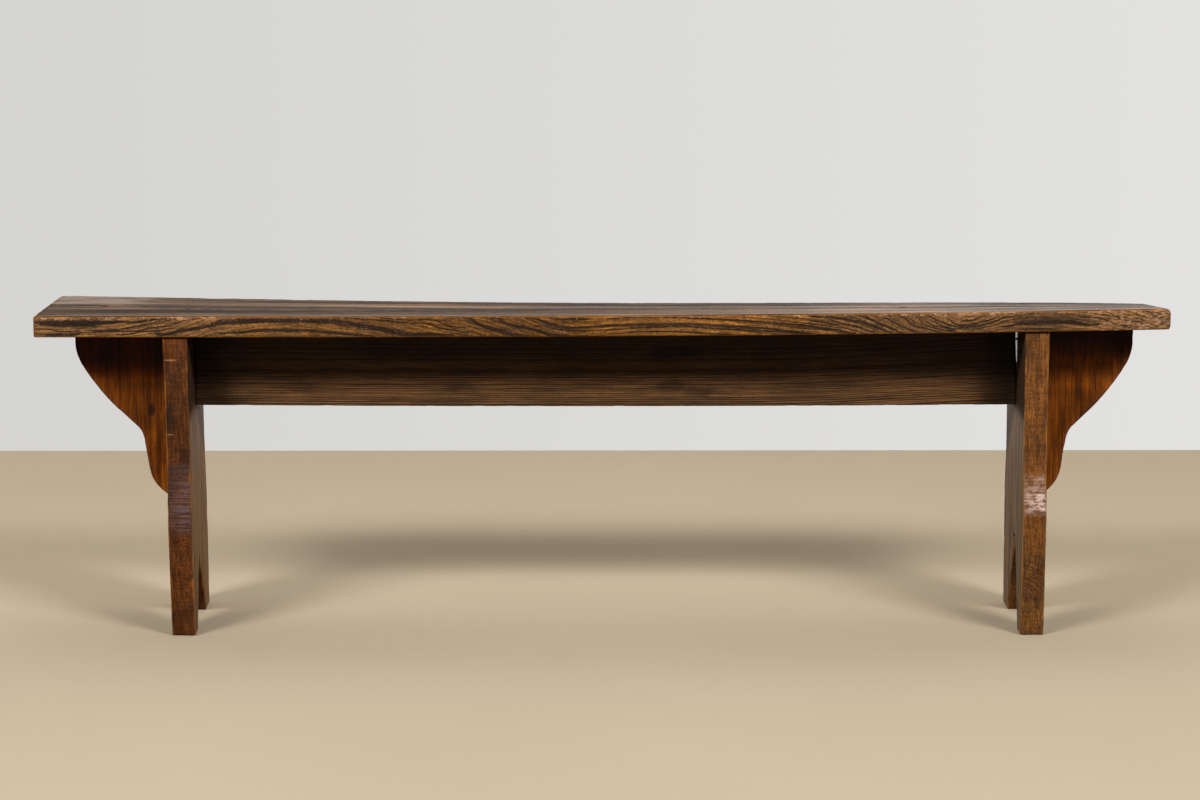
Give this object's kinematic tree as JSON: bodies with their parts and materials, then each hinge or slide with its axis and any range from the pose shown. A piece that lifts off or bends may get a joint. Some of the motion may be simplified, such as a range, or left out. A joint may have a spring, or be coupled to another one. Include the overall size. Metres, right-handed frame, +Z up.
{
  "type": "plank bench",
  "caption": "Backless plank bench: a thick warped seat on two board legs with V-cut feet, a rail under its middle and a scrolled bracket outside each leg.",
  "frame": {"origin": "on the floor under the middle of the bench's box", "axes": "+X along the bench to the right, +Y from its front to its back, +Z up"},
  "size_m": [1.5539, 0.2505, 0.4551],
  "materials": {
    "seat_wood": "old brown softwood, waxed, with dark bands of grain and worn arrises",
    "leg_wood": "old brown softwood, satin, with golden worn edges",
    "rail_wood": "dark brown softwood with fine level grain",
    "bracket_wood": "red-brown softwood, satin, grain upright",
    "nail_iron": "dark, rusted cut nail"
  },
  "bodies": {
    "root": {"seat_plank": "seat_wood", "left_leg": "leg_wood", "right_leg": "leg_wood", "centre_rail": "rail_wood", "left_bracket": "bracket_wood", "right_bracket": "bracket_wood", "seat_to_left_leg_nails": "nail_iron", "seat_to_right_leg_nails": "nail_iron", "seat_to_rail_nails": "nail_iron", "left_leg_to_rail_nails": "nail_iron", "right_leg_to_rail_nails": "nail_iron", "left_bracket_nails": "nail_iron", "right_bracket_nails": "nail_iron"}
  },
  "joints": []
}
